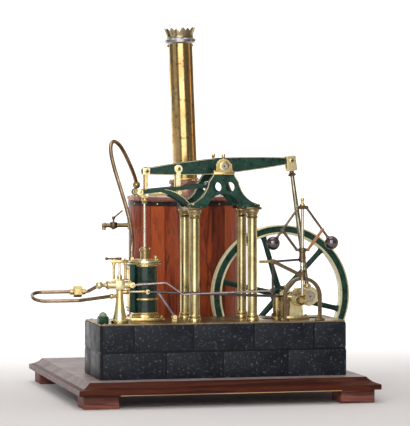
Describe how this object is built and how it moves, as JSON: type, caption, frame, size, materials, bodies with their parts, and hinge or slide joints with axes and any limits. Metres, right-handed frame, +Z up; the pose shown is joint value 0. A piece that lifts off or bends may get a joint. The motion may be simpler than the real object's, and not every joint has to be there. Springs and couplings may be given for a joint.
{
  "type": "model beam engine",
  "caption": "Model beam engine on a plinth, with a parallel motion, crank, spoked flywheel, ball governor and a lagged vertical boiler with a tall chimney, on a moulded wooden baseboard.",
  "frame": {"origin": "middle of the whole model's outline on the ground, under the baseboard's feet", "axes": "+X right along the plinth's front, +Y away from the front towards the boiler, +Z up"},
  "size_m": [0.4528, 0.4, 0.4978],
  "materials": {
    "baseboard": "glossy red-brown polished wood",
    "base_feet": "red-brown polished wood",
    "plinth": "near-black stone effect with light specks and worn edges",
    "bedplate": "pinkish copper plate",
    "columns": "dark green paint with cream lines and brass rings",
    "a_frames": "dark green paint with gold edges",
    "beam_bearings": "polished brass",
    "motion_brackets": "dark green paint with a cream edge",
    "cylinder": "dark green lagging with brass bands and a brass base plate",
    "cylinder_cover": "polished brass",
    "steam_chest": "dark green paint",
    "valve_stand": "polished brass",
    "valve_handle": "dark steel spindle and lever",
    "lubricator": "green box with a pale brass cap",
    "steam_pipe": "brown copper pipe",
    "pipe_loop": "brown copper pipe with a brass union",
    "boiler_lagging": "mahogany staves with black hoops",
    "boiler_top": "copper rim and dark smokebox",
    "chimney": "brass tube with a pale metal ring",
    "chimney_crown": "dark bronze crown",
    "boiler_cock": "brass",
    "cock_handle": "brass",
    "crank_bearings": "bright brass",
    "feed_pump": "brass",
    "governor_stand": "dark bronze",
    "flywheel": "dark green paint with a bright rim",
    "crankshaft": "bright steel",
    "connecting_rod": "dark green paint with bright ends",
    "beam": "dark green paint with a cream line",
    "main_links": "bright steel and brass",
    "back_links": "brass",
    "parallel_bars": "steel",
    "radius_rods": "brass and steel",
    "piston_rod": "bright steel with a brass knob",
    "eccentric_strap": "bronze",
    "valve_rocker": "bronze",
    "valve_rod": "steel",
    "governor_spindle": "steel with a bronze head",
    "governor_arm_right": "bronze arm with a dark polished ball",
    "governor_arm_left": "bronze arm with a dark polished ball",
    "governor_link_right": "copper-orange bronze",
    "governor_link_left": "copper-orange bronze",
    "governor_sleeve": "brass",
    "governor_lever": "bronze and brass",
    "throttle_rod": "steel"
  },
  "bodies": {
    "engine_frame": {"baseboard": "baseboard", "base_feet": "base_feet", "plinth": "plinth", "bedplate": "bedplate", "columns": "columns", "a_frames": "a_frames", "beam_bearings": "beam_bearings", "motion_brackets": "motion_brackets", "cylinder": "cylinder", "cylinder_cover": "cylinder_cover", "steam_chest": "steam_chest", "valve_stand": "valve_stand", "lubricator": "lubricator", "steam_pipe": "steam_pipe", "pipe_loop": "pipe_loop", "boiler_lagging": "boiler_lagging", "boiler_top": "boiler_top", "chimney": "chimney", "chimney_crown": "chimney_crown", "boiler_cock": "boiler_cock", "crank_bearings": "crank_bearings", "feed_pump": "feed_pump", "governor_stand": "governor_stand"},
    "beam": {"beam": "beam"},
    "main_links": {"main_links": "main_links"},
    "back_links": {"back_links": "back_links"},
    "parallel_bars": {"parallel_bars": "parallel_bars"},
    "radius_rods": {"radius_rods": "radius_rods"},
    "piston": {"piston_rod": "piston_rod"},
    "connecting_rod": {"connecting_rod": "connecting_rod"},
    "crankshaft": {"crankshaft": "crankshaft", "flywheel": "flywheel"},
    "eccentric_strap": {"eccentric_strap": "eccentric_strap"},
    "valve_rocker": {"valve_rocker": "valve_rocker"},
    "valve_rod": {"valve_rod": "valve_rod"},
    "governor_spindle": {"governor_spindle": "governor_spindle"},
    "governor_arm_right": {"governor_arm_right": "governor_arm_right"},
    "governor_arm_left": {"governor_arm_left": "governor_arm_left"},
    "governor_link_right": {"governor_link_right": "governor_link_right"},
    "governor_link_left": {"governor_link_left": "governor_link_left"},
    "governor_sleeve": {"governor_sleeve": "governor_sleeve"},
    "governor_lever": {"governor_lever": "governor_lever"},
    "throttle_rod": {"throttle_rod": "throttle_rod"},
    "cock_handle": {"cock_handle": "cock_handle"},
    "valve_handle": {"valve_handle": "valve_handle"}
  },
  "joints": [
    {"name": "beam_rock", "type": "hinge", "parent": "engine_frame", "child": "beam", "pos_m": [0.03043, -0.096, 0.3085], "axis": [0, 1, 0], "range_deg": [-13.25, 13.75]},
    {"name": "main_link_swing", "type": "hinge", "parent": "beam", "child": "main_links", "pos_m": [-0.06785, -0.096, 0.30189], "axis": [0, 1, 0], "range_deg": [-13.75, 13.25]},
    {"name": "back_link_swing", "type": "hinge", "parent": "beam", "child": "back_links", "pos_m": [-0.02495, -0.096, 0.30477], "axis": [0, 1, 0], "range_deg": [-13.75, 13.25]},
    {"name": "parallel_bar_swing", "type": "hinge", "parent": "main_links", "child": "parallel_bars", "pos_m": [-0.06785, -0.096, 0.27089], "axis": [0, 1, 0], "range_deg": [-13.25, 13.75]},
    {"name": "radius_rod_swing", "type": "hinge", "parent": "engine_frame", "child": "radius_rods", "pos_m": [-0.07888, -0.096, 0.2747], "axis": [0, 1, 0], "range_deg": [-14.15, 13.64]},
    {"name": "piston_stroke", "type": "slide", "parent": "engine_frame", "child": "piston", "axis": [0, 0, 1], "range_m": [-0.02273, 0.02359]},
    {"name": "connecting_rod_swing", "type": "hinge", "parent": "beam", "child": "connecting_rod", "pos_m": [0.1287, -0.096, 0.31511], "axis": [0, 1, 0], "range_deg": [-13.75, 13.25]},
    {"name": "flywheel_spin", "type": "hinge", "parent": "engine_frame", "child": "crankshaft", "pos_m": [0.13093, -0.096, 0.132], "axis": [0, 1, 0], "continuous": true},
    {"name": "eccentric_strap_turn", "type": "hinge", "parent": "crankshaft", "child": "eccentric_strap", "pos_m": [0.13051, -0.1355, 0.13598], "axis": [0, 1, 0], "continuous": true},
    {"name": "governor_spin", "type": "hinge", "parent": "engine_frame", "child": "governor_spindle", "pos_m": [0.13093, -0.15, 0.2545], "axis": [0, 0, 1], "continuous": true},
    {"name": "governor_arm_right_swing", "type": "hinge", "parent": "governor_spindle", "child": "governor_arm_right", "pos_m": [0.13612, -0.15, 0.2545], "axis": [0, 1, 0], "range_deg": [0, 10]},
    {"name": "governor_arm_left_swing", "type": "hinge", "parent": "governor_spindle", "child": "governor_arm_left", "pos_m": [0.12573, -0.15, 0.2545], "axis": [0, 1, 0], "range_deg": [-10, 0]},
    {"name": "governor_link_right_swing", "type": "hinge", "parent": "governor_arm_right", "child": "governor_link_right", "pos_m": [0.15813, -0.15, 0.22476], "axis": [0, 1, 0], "range_deg": [-21.32, 0]},
    {"name": "governor_link_left_swing", "type": "hinge", "parent": "governor_arm_left", "child": "governor_link_left", "pos_m": [0.10372, -0.15, 0.22476], "axis": [0, 1, 0], "range_deg": [0, 21.32]},
    {"name": "governor_sleeve_slide", "type": "slide", "parent": "governor_spindle", "child": "governor_sleeve", "axis": [0, 0, 1], "range_m": [-0.00675, 0]},
    {"name": "governor_lever_rock", "type": "hinge", "parent": "engine_frame", "child": "governor_lever", "pos_m": [0.09242, -0.145, 0.1835], "axis": [0, 1, 0], "range_deg": [0, 10.1]},
    {"name": "throttle_rod_slide", "type": "slide", "parent": "engine_frame", "child": "throttle_rod", "axis": [1, 0, 0], "range_m": [-0.00675, 0]},
    {"name": "valve_rocker_swing", "type": "hinge", "parent": "engine_frame", "child": "valve_rocker", "pos_m": [-0.03658, -0.1336, 0.112], "axis": [0, 1, 0], "range_deg": [-6, 6]},
    {"name": "valve_rod_slide", "type": "slide", "parent": "engine_frame", "child": "valve_rod", "axis": [1, 0, 0], "range_m": [-0.00344, 0.00344]},
    {"name": "cock_handle_turn", "type": "hinge", "parent": "engine_frame", "child": "cock_handle", "pos_m": [-0.07867, 0.069, 0.225], "axis": [0, 0, 1], "range_deg": [0, 90]},
    {"name": "valve_handle_turn", "type": "hinge", "parent": "engine_frame", "child": "valve_handle", "pos_m": [-0.10958, -0.1297, 0.155], "axis": [0, 0, 1], "range_deg": [0, 90]}
  ],
  "couplings": [
    {"joint": "main_link_swing", "follows": "beam_rock", "ratio": -1},
    {"joint": "back_link_swing", "follows": "beam_rock", "ratio": -1},
    {"joint": "parallel_bar_swing", "follows": "beam_rock", "ratio": 1},
    {"joint": "radius_rod_swing", "follows": "beam_rock", "ratio": -1.0292},
    {"joint": "piston_stroke", "follows": "beam_rock", "m_per_rad": 0.09828},
    {"joint": "connecting_rod_swing", "follows": "beam_rock", "ratio": -1},
    {"joint": "eccentric_strap_turn", "follows": "flywheel_spin", "ratio": -1},
    {"joint": "governor_spin", "follows": "flywheel_spin", "ratio": -1},
    {"joint": "governor_arm_left_swing", "follows": "governor_arm_right_swing", "ratio": -1},
    {"joint": "governor_link_right_swing", "follows": "governor_arm_right_swing", "ratio": -2.1318},
    {"joint": "governor_link_left_swing", "follows": "governor_arm_right_swing", "ratio": 2.1318},
    {"joint": "governor_sleeve_slide", "follows": "governor_arm_right_swing", "m_per_rad": -0.03868},
    {"joint": "governor_lever_rock", "follows": "governor_arm_right_swing", "ratio": 1.0099},
    {"joint": "throttle_rod_slide", "follows": "governor_arm_right_swing", "m_per_rad": -0.03868},
    {"joint": "valve_rod_slide", "follows": "valve_rocker_swing", "m_per_rad": 0.0328}
  ]
}
